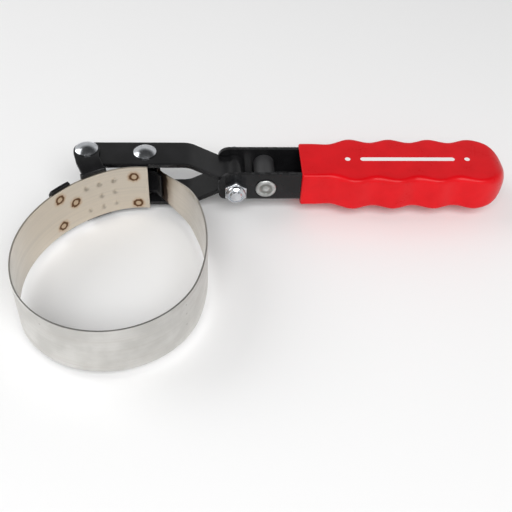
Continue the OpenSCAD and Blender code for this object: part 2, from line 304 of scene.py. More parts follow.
strap_right = start_line("strap_right_half", *seam_line)
sweep((0, 0, 0), fine_a, 0.5)
sweep((0, 0, 0), seat_a1 - seam_a - fine_a, 1.5)
sweep(right_c + (0,), right_a1 - seat_a1, 0.8)
sweep(shoulder_c + (0,), neck_a + 360 - right_a1, 2)
neck_h0, neck_d0, neck_d1, taper_end, taper_front = 16.0, 9.0, 13.0, 42.0, -45
push((neck_way[0] * (neck_len - neck_d0), neck_way[1] * (neck_len - neck_d0), 0), 16)
tidy_up(strap_right)
# The taper takes the strap down to the height of the link
for v in strap_right.data.vertices:
    back_x, back_y = v.co.x / mm - pull_at[0], v.co.y / mm - pull_at[1]
    out = -back_x * neck_way[0] - back_y * neck_way[1]
    if back_y > taper_front and out < taper_end:
        share = max(0.0, (out - neck_d1) / (taper_end - neck_d1))
        v.co.z *= (neck_h0 + (strap_h - neck_h0) * share) / strap_h
thicken_half(strap_right)


def new_group(name, inputs, outputs):
    """An empty shader group with these named sockets."""
    group = bpy.data.node_groups.new(name, "ShaderNodeTree")
    for label, kind, value in inputs:
        socket = group.interface.new_socket(label, in_out="INPUT", socket_type=kind)
        if value is not None:
            socket.default_value = value
    for label, kind in outputs:
        group.interface.new_socket(label, in_out="OUTPUT", socket_type=kind)
    return (group, group.nodes.new("NodeGroupInput").outputs,
            group.nodes.new("NodeGroupOutput").inputs)


def calc(tree, operation, *values, clamp=False):
    """A Math node on values, which are sockets or numbers."""
    node = tree.nodes.new("ShaderNodeMath")
    node.operation, node.use_clamp = operation, clamp
    for socket, value in zip(node.inputs, values):
        if isinstance(value, (int, float)):
            socket.default_value = value
        else:
            tree.links.new(value, socket)
    return node.outputs[0]


def noise(tree, place, scale, detail=3.0, roughness=0.5, sides=(1, 1, 1)):
    """Noise at scale per metre, stretched by sides."""
    mapping = tree.nodes.new("ShaderNodeMapping")
    mapping.inputs["Scale"].default_value = sides
    tree.links.new(place, mapping.inputs["Vector"])
    node = tree.nodes.new("ShaderNodeTexNoise")
    tree.links.new(mapping.outputs[0], node.inputs["Vector"])
    node.inputs["Scale"].default_value = scale
    node.inputs["Detail"].default_value = detail
    node.inputs["Roughness"].default_value = roughness
    return node.outputs["Fac"]


def mix(tree, amount, first, second):
    """A colour that goes from first to second as amount rises."""
    node = tree.nodes.new("ShaderNodeMix")
    node.data_type = "RGBA"
    for socket, value in ((node.inputs["Factor"], amount), (node.inputs["A"], first),
                          (node.inputs["B"], second)):
        if isinstance(value, (int, float)):
            socket.default_value = value
        elif isinstance(value, tuple):
            socket.default_value = value + (1,)
        else:
            tree.links.new(value, socket)
    return node.outputs["Result"]


# Wear: rubbed convex edges, broken up by noise
wear_group, wear_in, wear_out = new_group(
    "edge_wear", [("Place", "NodeSocketVector", None), ("Amount", "NodeSocketFloat", 0.5)],
    [("Worn", "NodeSocketFloat")])
sharpness = wear_group.nodes.new("ShaderNodeNewGeometry").outputs["Pointiness"]
wear_edge = stretch(wear_group, sharpness, 0.515, 0.60)
wear_patchy = stretch(wear_group, noise(wear_group, wear_in["Place"], 420), 0.42, 0.68)
wear_group.links.new(
    calc(wear_group, "MULTIPLY", calc(wear_group, "MULTIPLY", wear_edge, wear_patchy),
         wear_in["Amount"], clamp=True), wear_out["Worn"])

# Grain: a fine noise for colour and roughness, and another for the surface height
grain_group, grain_in, grain_out = new_group(
    "surface_grain", [("Place", "NodeSocketVector", None)],
    [(label, "NodeSocketFloat") for label in ("Blotches", "Specks", "Waviness")])
for label, scale, detail in (("Blotches", 90, 4), ("Specks", 1600, 2), ("Waviness", 260, 2)):
    grain_group.links.new(noise(grain_group, grain_in["Place"], scale, detail), grain_out[label])


def vector_calc(tree, operation, first, second=None):
    """The outputs of a Vector Math node on first and second, which are sockets or vectors."""
    node = tree.nodes.new("ShaderNodeVectorMath")
    node.operation = operation
    for socket, value in zip(node.inputs, (first, second)):
        if isinstance(value, bpy.types.NodeSocket):
            tree.links.new(value, socket)
        elif value is not None:
            socket.default_value = value
    return node.outputs


def place_group(tree, group, place):
    node = tree.nodes.new("ShaderNodeGroup")
    node.node_tree = group
    tree.links.new(place, node.inputs["Place"])
    return node


def new_material(name):
    """A material, its shader and tree, the piece's own coordinates, and the grain on them."""
    material = bpy.data.materials.new(name)
    material.use_nodes = True
    tree = material.node_tree
    place = tree.nodes.new("ShaderNodeTexCoord").outputs["Object"]
    grain = place_group(tree, grain_group, place).outputs
    return material, tree.nodes["Principled BSDF"], tree, place, grain


def colour_and_gloss(tree, shader, colour, roughness):
    tree.links.new(colour, shader.inputs["Base Color"])
    tree.links.new(roughness, shader.inputs["Roughness"])


def surface_bump(tree, shader, height, strength, distance):
    node = tree.nodes.new("ShaderNodeBump")
    node.inputs["Strength"].default_value = strength
    node.inputs["Distance"].default_value = distance * mm
    tree.links.new(height, node.inputs["Height"])
    tree.links.new(node.outputs[0], shader.inputs["Normal"])


# Heat: the blued and browned halo round a spot weld, with a light nugget inside
# The same round masks also lay painted shade in the dimples, the dents and the stop rivet's dish.
heat_group, heat_in, heat_out = new_group(
    "weld_heat", [("Place", "NodeSocketVector", None), ("Centre", "NodeSocketVector", (0, 0, 0)),
                  ("Radius", "NodeSocketFloat", 0.002)],
    [(label, "NodeSocketFloat") for label in ("Ring", "Halo", "Nugget")])
heat_gap = vector_calc(heat_group, "DISTANCE", heat_in["Place"], heat_in["Centre"])["Value"]
heat_ragged = calc(heat_group, "MULTIPLY_ADD", noise(heat_group, heat_in["Place"], 700), 0.7, 0.65)
heat_reach = calc(heat_group, "MULTIPLY", calc(heat_group, "DIVIDE", heat_gap, heat_in["Radius"]),
                  heat_ragged)
heat_group.links.new(
    calc(heat_group, "MULTIPLY", stretch(heat_group, heat_reach, 0.42, 0.68),
         stretch(heat_group, heat_reach, 0.90, 1.20, 1.0, 0.0)), heat_out["Ring"])
heat_group.links.new(stretch(heat_group, heat_reach, 0.9, 1.75, 1.0, 0.0), heat_out["Halo"])
heat_group.links.new(stretch(heat_group, heat_reach, 0.35, 0.6, 1.0, 0.0), heat_out["Nugget"])


def stain_and_shade(tree, place, colour, spot, radius, *layers):
    """Lays masks of the heat group round spot over a colour, for real heat stains and for painted
    shade: (mask, amount, tint) for each.
    """
    heat = place_group(tree, heat_group, place)
    heat.inputs["Centre"].default_value = Vector(spot) * mm
    heat.inputs["Radius"].default_value = radius * mm
    for mask, amount, tint in layers:
        colour = mix(tree, calc(tree, "MULTIPLY", heat.outputs[mask], amount), colour, tint)
    return colour


stainless, steel_shader, steel, steel_place, steel_grain = new_material("stainless_band")
steel_shader.inputs["Metallic"].default_value = 1
steel_streaks = noise(steel, steel_place, 60, 5, 0.65, (0.25, 0.25, 14))
steel_colour = mix(steel, stretch(steel, steel_grain["Blotches"], 0.35, 0.7),
                   (0.56, 0.55, 0.525), (0.66, 0.65, 0.625))
steel_xyz = split_xyz(steel, steel_place)
steel_warm = calc(steel, "MULTIPLY", stretch(steel, steel_xyz["Y"], -0.030, 0.040),
                  stretch(steel, steel_xyz["X"], 0.012, 0.045, 1.0, 0.35))
steel_colour = mix(steel, steel_warm, steel_colour, (0.66, 0.595, 0.505))
steel_colour = mix(steel, calc(steel, "MULTIPLY", stretch(steel, steel_streaks, 0.42, 0.75), 0.35),
                   steel_colour, (0.50, 0.47, 0.43))
weld_r, dimple_shade_r, dent_shade_r = 2.3, 1.1, 0.9
dent_shade_spots = ((32.6, -22.8, 8.1), (32.6, -22.8, 2.7), (32.6, -22.8, -4.0), (-24.1, -31.7, 7.9))
for spot in welds:
    steel_colour = stain_and_shade(steel, steel_place, steel_colour, spot, weld_r,
                         ("Halo", 0.6, (0.50, 0.30, 0.14)), ("Ring", 0.95, (0.10, 0.042, 0.018)),
                         ("Nugget", 0.7, (0.55, 0.44, 0.31)))
# Painted shade: a dark dot in the hollow of each pressed dimple
for spot in dimples:
    steel_colour = stain_and_shade(steel, steel_place, steel_colour, spot, dimple_shade_r,
                         ("Nugget", 0.30, (0.20, 0.17, 0.14)))
# Painted shade: dark spots that stand for small dents in the front of the band
for spot in dent_shade_spots:
    steel_colour = stain_and_shade(steel, steel_place, steel_colour, spot, dent_shade_r,
                         ("Nugget", 0.4, (0.22, 0.20, 0.17)))
# The neck is browned in a stripe where the link is pressed and welded on
neck_gap = vector_calc(steel, "SUBTRACT", steel_place, Vector(pull_at + (0,)) * mm)[0]
neck_out = vector_calc(steel, "DOT_PRODUCT", neck_gap, (-neck_way[0], -neck_way[1], 0))["Value"]
neck_far = vector_calc(steel, "LENGTH", neck_gap)["Value"]
scorch_edge = calc(steel, "MULTIPLY_ADD", steel_grain["Waviness"], 0.003, neck_out)
on_right = stretch(steel, steel_xyz["X"], 0.0175, 0.0185)
for edge_from, edge_to, most, far_from, far_to, tint in (
        (0.0175, 0.0235, 0.6, 0.022, 0.027, (0.33, 0.24, 0.16)),
        (0.0172, 0.0190, 1.0, 0.018, 0.021, (0.045, 0.025, 0.015))):
    scorch = calc(steel, "MULTIPLY", stretch(steel, scorch_edge, edge_from, edge_to, most, 0.0),
                  stretch(steel, neck_far, far_from, far_to, 1.0, 0.0))
    steel_colour = mix(steel, calc(steel, "MULTIPLY", scorch, on_right), steel_colour, tint)
colour_and_gloss(steel, steel_shader, steel_colour, calc(
    steel, "MULTIPLY_ADD", steel_streaks, 0.16,
    calc(steel, "MULTIPLY_ADD", steel_grain["Specks"], 0.08, 0.20)))
surface_bump(steel, steel_shader, steel_streaks, 0.10, 0.05)

for half in (strap, strap_right):
    half.data.materials.append(stainless)
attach(strap, "band_head")
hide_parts("band")
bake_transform(strap_right)
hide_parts("band_tail")

# --------------------------------------
# End bracket: 1.5 mm steel, folded and painted black. A web follows the strap
# and is spot welded to its outside, a taller tab ends it on the left, and two
# ears folded outwards straddle the yoke at the pivot rivet.
bracket_t, web_h, tab_h, ear_top = 1.5, 20.0, 27.2, 14.3
web_m = strap_t / 2 + bracket_t / 2
tab_from, tab_to, web_end_a, corner_a, corner_cut = 130.0, 141.5, 89.0, 1.3, 0.09
ear_from, ear_to = 113.2, 125.0
tab_at = along(crown_c, crown_r + web_m, tab_to)
bracket_web = start_line("end_bracket_web", tab_at + (-tab_h / 2,), tab_at + (tab_h / 2,), 1)
sweep(crown_c + (0,), tab_from - tab_to, 1.2)
bpy.ops.mesh.select_mode(type="VERT")
bpy.ops.transform.resize(value=(1, 1, web_h / tab_h), center_override=(0, 0, 0))
sweep(crown_c + (0,), ear_to - tab_from, 1.3)
sweep(crown_c + (0,), ear_from - ear_to, 1.2)
sweep(crown_c + (0,), crown_a0 - ear_from, 1.1)
sweep(tongue_c + (0,), web_end_a - crown_a0, 2)
tidy_up(bracket_web)
# The tab's end keeps its height for a few millimetres and has cut corners
for v in bracket_web.data.vertices:
    around = degrees(atan2(v.co.y / mm - crown_c[1], v.co.x / mm - crown_c[0]))
    if around > tab_from + 0.5:
        corner = max(0.0, (around - tab_to + corner_a) / corner_a)
        v.co.z *= 1 - corner_cut * corner ** 2
finish_with(bracket_web, thick=bracket_t, edge=0.3, segments=3)


def flat_plate(name, outline, low, thick, edge=0.3):
    """A flat plate from an outline in X and Y, with its sharp edges rounded."""
    deselect()
    bpy.ops.mesh.primitive_circle_add(vertices=len(outline), radius=mm, fill_type="NGON")
    piece = bpy.context.object
    piece.name = piece.data.name = name
    bpy.ops.object.mode_set(mode="EDIT")
    bpy.ops.mesh.select_mode(type="VERT")
    bm = bmesh.from_edit_mesh(piece.data)
    ring = sorted(bm.verts, key=lambda v: atan2(v.co.y, v.co.x))
    for v, point in zip(ring, outline):
        v.co = Vector((point[0], point[1], low)) * mm
    bmesh.update_edit_mesh(piece.data)
    bpy.ops.mesh.select_all(action="SELECT")
    push((0, 0, thick))
    tidy_up(piece)
    finish_with(piece, edge=edge, segments=3)
    return piece


ear_r, foot_low, foot_gap, ear_fold_r = 6.1, 7.0, 0.02, 1.2
root_r, root_from, root_step = crown_r + strap_t / 2 + bracket_t - 0.75, 124.3, 1.3
waist_left, waist_right = ((-5.9, -2.5), (-4.9, -6.0), (-3.9, -9.8)), (6.0, -4.5)
ear_outline = [along(pivot_at, ear_r, a) for a in range(-5, 186, 6)]
ear_outline += [(pivot_at[0] + x, pivot_at[1] + y) for x, y in waist_left]
ear_outline += [along(crown_c, root_r, root_from - k * root_step) for k in range(9)]
ear_outline += [(pivot_at[0] + waist_right[0], pivot_at[1] + waist_right[1])]
ear_lift = ear_top - bracket_t
ears = []
for name, low in (("end_bracket_upper_ear", ear_lift), ("end_bracket_lower_ear", -ear_top)):
    ears.append(flat_plate(name, ear_outline, low, bracket_t))


def ear_fold(name, side):
    """The upright foot of an ear, with the rounded outside of its fold."""
    inner = crown_r + strap_t / 2 + foot_gap
    outer = crown_r + strap_t / 2 + bracket_t - foot_gap
    foot = start_line(name, along(crown_c, outer, ear_to) + (side * foot_low,),
                      along(crown_c, inner, ear_to) + (side * foot_low,))
    sweep(crown_c + (0,), ear_from - ear_to, 1.2)
    bpy.ops.mesh.select_all(action="SELECT")
    push((0, 0, side * (ear_top - foot_low - 0.01)))
    tidy_up(foot)
    bpy.ops.object.mode_set(mode="EDIT")
    select_where(foot, lambda p, n: abs(hypot(p.x - crown_c[0], p.y - crown_c[1]) - inner) < 0.1
                 and abs(p.z) > ear_lift + 1)
    bpy.ops.mesh.select_mode(type="EDGE")
    bpy.ops.mesh.bevel(offset=ear_fold_r * mm, segments=6, profile=0.5)
    tidy_up(foot)
    finish_with(foot, edge=0.2, segments=2)
    return foot


folds = [ear_fold("end_bracket_upper_fold", 1), ear_fold("end_bracket_lower_fold", -1)]


def join_as(name, first, *others):
    """Joins pieces that are one physical part into first."""
    deselect()
    for piece in (first,) + others:
        piece.select_set(True)
    bpy.context.view_layer.objects.active = first
    bpy.ops.object.join()
    first.name = first.data.name = name
    return first


end_bracket = join_as("end_bracket_visual", bracket_web, *ears, *folds)

black_paint, paint_shader, paint, paint_place, paint_grain = new_material("gloss_black_paint")
paint_wear = place_group(paint, wear_group, paint_place)
paint_wear.inputs["Amount"].default_value = 0.14
paint_colour = mix(paint, stretch(paint, paint_grain["Blotches"], 0.3, 0.75),
                   (0.006, 0.006, 0.0065), (0.012, 0.012, 0.013))
colour_and_gloss(paint, paint_shader,
                 mix(paint, paint_wear.outputs["Worn"], paint_colour, (0.16, 0.16, 0.165)),
                 calc(paint, "MULTIPLY_ADD", paint_grain["Specks"], 0.10, 0.16))
paint_shader.inputs["Specular IOR Level"].default_value = 0.26
surface_bump(paint, paint_shader, calc(paint, "ADD", paint_grain["Waviness"], calc(
    paint, "MULTIPLY", paint_grain["Specks"], 0.25)), 0.12, 0.12)
end_bracket.data.materials.append(black_paint)
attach(end_bracket, "band_head")
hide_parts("end_bracket")

# --------------------------------------
# Pull link: a 13 mm strap of 1.2 mm steel looped round the pull rivet's
# spacer. Its two leaves clamp the neck of the band from both sides.
link_t, link_h, loop_m, leaf_off = 1.2, 13.0, 5.3, 1.0
leaf_d0, leaf_d1 = 9.5, 13.0
leaf_a = degrees(atan2(leaf_off, leaf_d0) + acos(loop_m / hypot(leaf_d0, leaf_off)))
neck_turn = neck_a - 90


def on_neck(d, off):
    """A point d out from the pull rivet along the neck, and off to its left."""
    along_x, along_y = cos(radians(neck_turn)), sin(radians(neck_turn))
    return (pull_at[0] + d * along_x - off * along_y, pull_at[1] + d * along_y + off * along_x)


loop_start = on_neck(loop_m * cos(radians(leaf_a)), loop_m * sin(radians(leaf_a)))
leaf_left, leaf_left_end = on_neck(leaf_d0, leaf_off), on_neck(leaf_d1, leaf_off)
leaf_right, leaf_right_end = on_neck(leaf_d0, -leaf_off), on_neck(leaf_d1, -leaf_off)
loop_end = on_neck(loop_m * cos(radians(leaf_a)), -loop_m * sin(radians(leaf_a)))
link = start_line("pull_link_visual", leaf_left_end + (-link_h / 2,),
                  leaf_left_end + (link_h / 2,), 4)


def push_to(here, there, count=1):
    push((there[0] - here[0], there[1] - here[1], 0), count)


push_to(leaf_left_end, leaf_left)
push_to(leaf_left, loop_start)
sweep(pull_at + (0,), 360 - 2 * leaf_a, 8)
push_to(loop_end, leaf_right)
push_to(leaf_right, leaf_right_end)
tidy_up(link)
finish_with(link, thick=link_t, edge=0.25, segments=3)
link.data.materials.append(black_paint)
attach(link, "band_end")
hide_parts("pull_link")

# --------------------------------------
# Yoke: a 2 mm steel strip, 16.8 mm wide, folded into a U. Its arms close from
# the two rivets to the neck, and the fold rolls into an eye round the bolt.
# It is painted black.
yoke_t, yoke_w, arm_z = 2.0, 16.8, 11.5
bolt_x, bolt_y = 55.0, 68.5
arm_end_x, bend_x, neck_x, neck_z, eye_m, eye_open = -12.4, 29.9, 48.8, 3.15, 4.1, 128.0
yoke_cuts = 15
yoke = start_line("yoke_visual", (arm_end_x - yoke_w / 2, bolt_y - yoke_w / 2, arm_z),
                  (arm_end_x - yoke_w / 2, bolt_y + yoke_w / 2, arm_z), yoke_cuts)
bend_steps, bend_run, bend_lead = 4, 5.0, 2.5
push((yoke_w / 2, 0, 0))
push((bend_x - arm_end_x - bend_lead, 0, 0), 4)
slope = atan2(arm_z - neck_z, neck_x - bend_x)
push((bend_lead, 0, 0))
here = Vector((bend_x, 0, arm_z))
for k in range(bend_steps):
    lean = slope * (k + 0.5) / bend_steps
    step = Vector((cos(lean), 0, -sin(lean))) * bend_run / bend_steps
    push(step)
    here += step
# Through the neck the arm levels off, and then meets the eye
level_lead, level_out, level_drop = 1.5, 1.0, 0.12
stops = (here, Vector((neck_x - level_lead * cos(slope), 0, neck_z + level_lead * sin(slope))),
         Vector((neck_x + level_out, 0, neck_z - level_drop)),
         Vector((bolt_x + eye_m * cos(radians(eye_open)), 0, eye_m * sin(radians(eye_open)))))
for first, second, count in zip(stops, stops[1:], (2, 1, 1)):
    push(second - first, count)
sweep((bolt_x, 0, 0), eye_open, 8, axis=(0, 1, 0))
tidy_up(yoke)
# The free end of the arm is a half round
for v in yoke.data.vertices:
    if v.co.x / mm < arm_end_x - 0.1:
        from_middle = (v.co.y / mm - bolt_y) / (yoke_w / 2)
        v.co.x = (arm_end_x - yoke_w / 2 * sqrt(max(0.0, 1 - from_middle ** 2))) * mm
# The lower half mirrors the upper one
mirror = yoke.modifiers.new("lower_half", "MIRROR")
mirror.use_axis = (False, False, True)
mirror.merge_threshold = 0.05 * mm
bpy.ops.object.modifier_apply(modifier=mirror.name)
bpy.ops.object.mode_set(mode="EDIT")
tidy_up(yoke)
finish_with(yoke, thick=yoke_t, edge=0.45, segments=3)
yoke.data.materials.append(black_paint)
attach(yoke, "yoke_arm")
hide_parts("yoke")

# --------------------------------------
# Pivot and pull rivets: 6 mm steel, bright zinc, with round heads on top and
# tails peened below. The pivot rivet holds the ears, the pull rivet the link.
head_size, tail_size, shank_r = (5.4, 2.2, 0.5), (5.0, 2.0, 0.4), 3.0


def lathe(name, outline, axis_at, axis="Z", steps=56, smooth=35):
    """Turns an outline of (radius, height) points, in millimetres, round an axis along Z or -Y."""
    deselect()
    bpy.ops.mesh.primitive_plane_add(size=mm)
    piece = bpy.context.object
    piece.name = piece.data.name = name
    bpy.ops.object.mode_set(mode="EDIT")
    bpy.ops.mesh.select_mode(type="VERT")
    bpy.ops.mesh.merge(type="CENTER")
    up = Vector((0, 0, 1)) if axis == "Z" else Vector((0, -1, 0))
    centre = Vector(axis_at) * mm
    points = [centre + Vector((r, 0, 0)) * mm + up * h * mm for r, h in outline]
    bm = bmesh.from_edit_mesh(piece.data)
    for v in bm.verts:
        v.co = points[0]
        v.select = True
    bm.select_flush_mode()
    bmesh.update_edit_mesh(piece.data)
    for a, b in zip(points, points[1:]):
        bpy.ops.mesh.extrude_region_move(TRANSFORM_OT_translate={"value": b - a})
    bpy.ops.mesh.select_all(action="SELECT")
    bpy.ops.mesh.spin(steps=steps, angle=2 * pi, center=centre, axis=up)
    tidy_up(piece)
    finish_with(piece, smooth=smooth)
    return piece


def head_outline(r, rise, edge, at, up=1, points=10):
    """A round head from its edge in to the middle: (radius, height) points."""
    ball = (r * r + (rise - edge) ** 2) / (2 * (rise - edge))
    widest = acos((ball - (rise - edge)) / ball)
    leans = [widest * k / points for k in range(points, -1, -1)]
    dome = [(ball * sin(a), at + up * (rise - ball + ball * cos(a))) for a in leans]
    return [(r - 0.15, at), (r, at + up * 0.15), (r, at + up * edge * 0.8)] + dome


def rivet(name, middle, grip):
    top = head_outline(*head_size, grip)
    tail = head_outline(*tail_size, -grip, up=-1)
    return lathe(name, tail[::-1] + [(shank_r, -grip + 0.05), (shank_r, grip - 0.05)] + top,
                 middle + (0,))


zinc, zinc_shader, zinc_tree, zinc_place, zinc_grain = new_material("bright_zinc_plating")
zinc_shader.inputs["Metallic"].default_value = 1
zinc_wear = place_group(zinc_tree, wear_group, zinc_place)
zinc_wear.inputs["Amount"].default_value = 0.5
zinc_colour = mix(zinc_tree, stretch(zinc_tree, zinc_grain["Waviness"], 0.3, 0.75),
                  (0.56, 0.58, 0.61), (0.74, 0.76, 0.79))
colour_and_gloss(
    zinc_tree, zinc_shader,
    mix(zinc_tree, zinc_wear.outputs["Worn"], zinc_colour, (0.85, 0.86, 0.88)),
    calc(zinc_tree, "MULTIPLY_ADD", zinc_grain["Specks"], 0.14,
         calc(zinc_tree, "MULTIPLY_ADD", zinc_grain["Blotches"], 0.14, 0.06)))
surface_bump(zinc_tree, zinc_shader, calc(zinc_tree, "ADD", zinc_grain["Waviness"],
                                          zinc_grain["Specks"]), 0.25, 0.10)

for name, middle, grip, body, node in (
        ("pivot_rivet_visual", pivot_at, ear_top, "band_head", "pivot_rivet"),
        ("pull_rivet_visual", pull_at, 12.5, "yoke_arm", "pull_rivet")):
    part = rivet(name, middle, grip)
    part.data.materials.append(zinc)
    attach(part, body)
    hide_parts(node)

# --------------------------------------
# Spacers on the two rivets: 8 mm steel tube between the yoke's arms, turned to
# length with its ends chamfered, dark with oil.
spacer_r = 4.0


def tube(name, middle, outer, inner, length, axis="Z", chamfer=0.3):
    half = length / 2
    outline = [(inner, -half + chamfer), (inner + chamfer, -half), (outer - chamfer, -half),
               (outer, -half + chamfer), (outer, half - chamfer), (outer - chamfer, half),
               (inner + chamfer, half), (inner, half - chamfer), (inner, -half + chamfer)]
    return lathe(name, outline, middle, axis, 40)


oiled, oiled_shader, oiled_tree, oiled_place, oiled_grain = new_material("oiled_steel")
oiled_shader.inputs["Metallic"].default_value = 1
oiled_colour = mix(oiled_tree, stretch(oiled_tree, oiled_grain["Blotches"], 0.3, 0.7),
                   (0.10, 0.095, 0.09), (0.20, 0.19, 0.18))
colour_and_gloss(oiled_tree, oiled_shader, oiled_colour,
                 calc(oiled_tree, "MULTIPLY_ADD", oiled_grain["Specks"], 0.2, 0.25))
turning_marks = noise(oiled_tree, oiled_place, 500, 2, 0.5, (1, 1, 0.05))
surface_bump(oiled_tree, oiled_shader, turning_marks, 0.2, 0.06)
for name, middle, length, body, node in (
        ("pivot_spacer_visual", pivot_at, 20.4, "band_head", "pivot_spacer"),
        ("pull_spacer_visual", pull_at, 21.0, "yoke_arm", "pull_spacer")):
    part = tube(name, middle + (0,), spacer_r, shank_r, length)
    part.data.materials.append(oiled)
    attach(part, body)
    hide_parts(node)

# --------------------------------------
# Handle channel: 2 mm steel folded into a U, open at the top. Its walls run on
# past the web as two cheeks with rounded noses that hold the yoke's eye.
# Painted black.
channel_w, channel_h, channel_t, channel_len = 21.5, 16.1, 2.0, 124.0
nose, nose_r, fold_r, web_start = 8.5, 6.0, 2.2, 9.0
half_w, half_h = channel_w / 2, channel_h / 2
nose_x, web_x = bolt_x - nose, bolt_x + web_start
channel = start_line("handle_channel_visual", (nose_x, bolt_y - half_w, fold_r - half_h),
                     (nose_x, bolt_y - half_w, half_h), 11)
push((nose_r, 0, 0), 8)
push((nose - nose_r + web_start, 0, 0), 4)
push((channel_len - web_start, 0, 0), 8)
# From the wall's lower edge the steel folds under and across
select_where(channel, lambda p, n: abs(p.z - fold_r + half_h) < 0.01)
bpy.ops.mesh.select_mode(type="EDGE")
sweep((0, bolt_y - half_w + fold_r, fold_r - half_h), 90, 18, axis=(1, 0, 0))
push((0, half_w - fold_r, 0), 2)
tidy_up(channel)
bpy.ops.object.mode_set(mode="EDIT")
select_where(channel, lambda p, n: p.x < web_x and p.y > bolt_y - half_w + channel_t
             and p.z < 0.2 - half_h, faces=True)
bpy.ops.mesh.delete(type="FACE")
bpy.ops.object.mode_set(mode="OBJECT")
# The nose is rounded above and below
for v in channel.data.vertices:
    x, z = v.co.x / mm, v.co.z / mm
    if x < nose_x + nose_r + 0.01:
        reach = (x - nose_x) / nose_r
        room = half_h - nose_r + nose_r * sqrt(max(0.0, 1 - (1 - reach) ** 2))
        v.co.z = max(-room, min(room, z)) * mm if abs(z) > room else v.co.z
bpy.context.view_layer.objects.active = channel
halves = channel.modifiers.new("far_wall", "MIRROR")
halves.use_axis = (False, True, False)
channel.data.transform(Matrix.Translation((0, -bolt_y * mm, 0)))
halves.merge_threshold = 0.02 * mm
bpy.ops.object.modifier_apply(modifier=halves.name)
channel.data.transform(Matrix.Translation((0, bolt_y * mm, 0)))
bpy.ops.object.mode_set(mode="EDIT")
# The open sheet's faces have to point outwards before it gets its thickness
bpy.ops.mesh.select_all(action="SELECT")
bpy.ops.mesh.remove_doubles(threshold=0.01 * mm)
bpy.ops.mesh.select_all(action="SELECT")
bpy.ops.mesh.normals_make_consistent(inside=False)
bm = bmesh.from_edit_mesh(channel.data)
bm.normal_update()
under_middle = Vector((0, bolt_y * mm, -half_h * mm))
under = min(bm.faces, key=lambda f: (f.calc_center_median() - under_middle).yz.length)
if under.normal.z > 0:
    bpy.ops.mesh.flip_normals()
bpy.ops.object.mode_set(mode="OBJECT")
finish_with(channel, thick=channel_t, offset=-1)
# Between the cheeks the fold is trimmed flush, to clear the yoke
for v in channel.data.vertices:
    off = v.co.y / mm - bolt_y
    if v.co.x / mm < web_x - 0.1 and abs(off) < half_w - channel_t:
        v.co.y = (bolt_y + copysign(half_w - channel_t, off)) * mm
finish_with(channel, edge=0.3, segments=3)
channel.data.materials.append(black_paint)
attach(channel, "handle")
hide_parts("handle_channel")

# --------------------------------------
# Swivel bolt: M6, bright zinc, hexagon head on the far side. Its threaded tip
# stands just out of the nut.
near_y, far_y = bolt_y - half_w, bolt_y + half_w
hex_w, hex_chamfer = 10.0, 0.72
bolt_head_h, nut_hex_h, nut_h, collar_r, thread_tip = 4.0, 4.2, 6.0, 4.8, 0.8


def hexagon(name, y_from, length, cham_near, cham_far):
    """A hexagon bar along -Y from y_from, its corners chamfered where asked."""
    deselect()
    bpy.ops.mesh.primitive_cylinder_add(
        vertices=6, radius=hex_w / sqrt(3) * mm, depth=length * mm,
        location=(bolt_x * mm, (y_from - length / 2) * mm, 0), rotation=(pi / 2, 0, 0))
    piece = bpy.context.object
    piece.name = piece.data.name = name
    bpy.ops.object.transform_apply(location=True, rotation=True, scale=True)
    across = hex_w / 2
    reach = across * 1.25
    outline = [(0, 0)]
    outline += [(across - 0.1, 0), (reach, hex_chamfer)] if cham_far else [(reach, 0)]
    outline += ([(reach, length - hex_chamfer), (across - 0.1, length)] if cham_near
                else [(reach, length)])
    outline += [(0, length)]
    cutter = lathe(name + "_chamfer", outline, (bolt_x, y_from, 0), "-Y", 64)
    deselect()
    bpy.context.view_layer.objects.active = piece
    cut = piece.modifiers.new("chamfer", "BOOLEAN")
    cut.operation, cut.object, cut.solver = "INTERSECT", cutter, "EXACT"
    bpy.ops.object.modifier_apply(modifier=cut.name)
    bpy.data.objects.remove(cutter)
    finish_with(piece, edge=0.1, segments=2, smooth=28)
    return piece


bolt_head = hexagon("swivel_bolt_head", far_y + bolt_head_h, bolt_head_h, False, True)
pitch, thread_depth, thread_r = 1.0, 0.55, 3.0
tip_h = channel_w + nut_h + thread_tip
shank = [(0, -0.5), (thread_r, -0.5), (thread_r, channel_w + 0.5)]
thread_at = channel_w + 1.0
while thread_at + pitch < tip_h - 0.3:
    shank += [(thread_r - thread_depth, thread_at + pitch / 2), (thread_r, thread_at + pitch)]
    thread_at += pitch
shank += [(2.5, tip_h - 0.05), (2.35, tip_h), (0, tip_h)]
bolt_shank = lathe("swivel_bolt_shank", shank, (bolt_x, far_y, 0), "-Y", 48)
bolt = join_as("swivel_bolt_visual", bolt_head, bolt_shank)
bolt.data.materials.append(zinc)
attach(bolt, "handle")
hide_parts("swivel_bolt")

# --------------------------------------
# Lock nut: M6 with a nylon ring, bright zinc. The collar is rolled over the
# white ring that grips the thread.
nut_hex = hexagon("lock_nut_hexagon", near_y, nut_hex_h, True, False)
collar = [(3.3, nut_hex_h - 1), (collar_r - 0.1, nut_hex_h - 1), (collar_r, nut_hex_h + 0.3),
          (collar_r - 0.15, nut_hex_h + 0.9), (collar_r - 0.5, nut_h - 0.35),
          (collar_r - 0.9, nut_h - 0.05), (collar_r - 1.15, nut_h - 0.05),
          (collar_r - 1.2, nut_h - 0.3), (collar_r - 1.2, nut_hex_h), (3.3, nut_hex_h - 1)]
nut_collar = lathe("lock_nut_collar", collar, (bolt_x, near_y, 0), "-Y", 56)
nut = join_as("lock_nut_visual", nut_hex, nut_collar)
nut.data.materials.append(zinc)
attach(nut, "handle")
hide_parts("lock_nut")

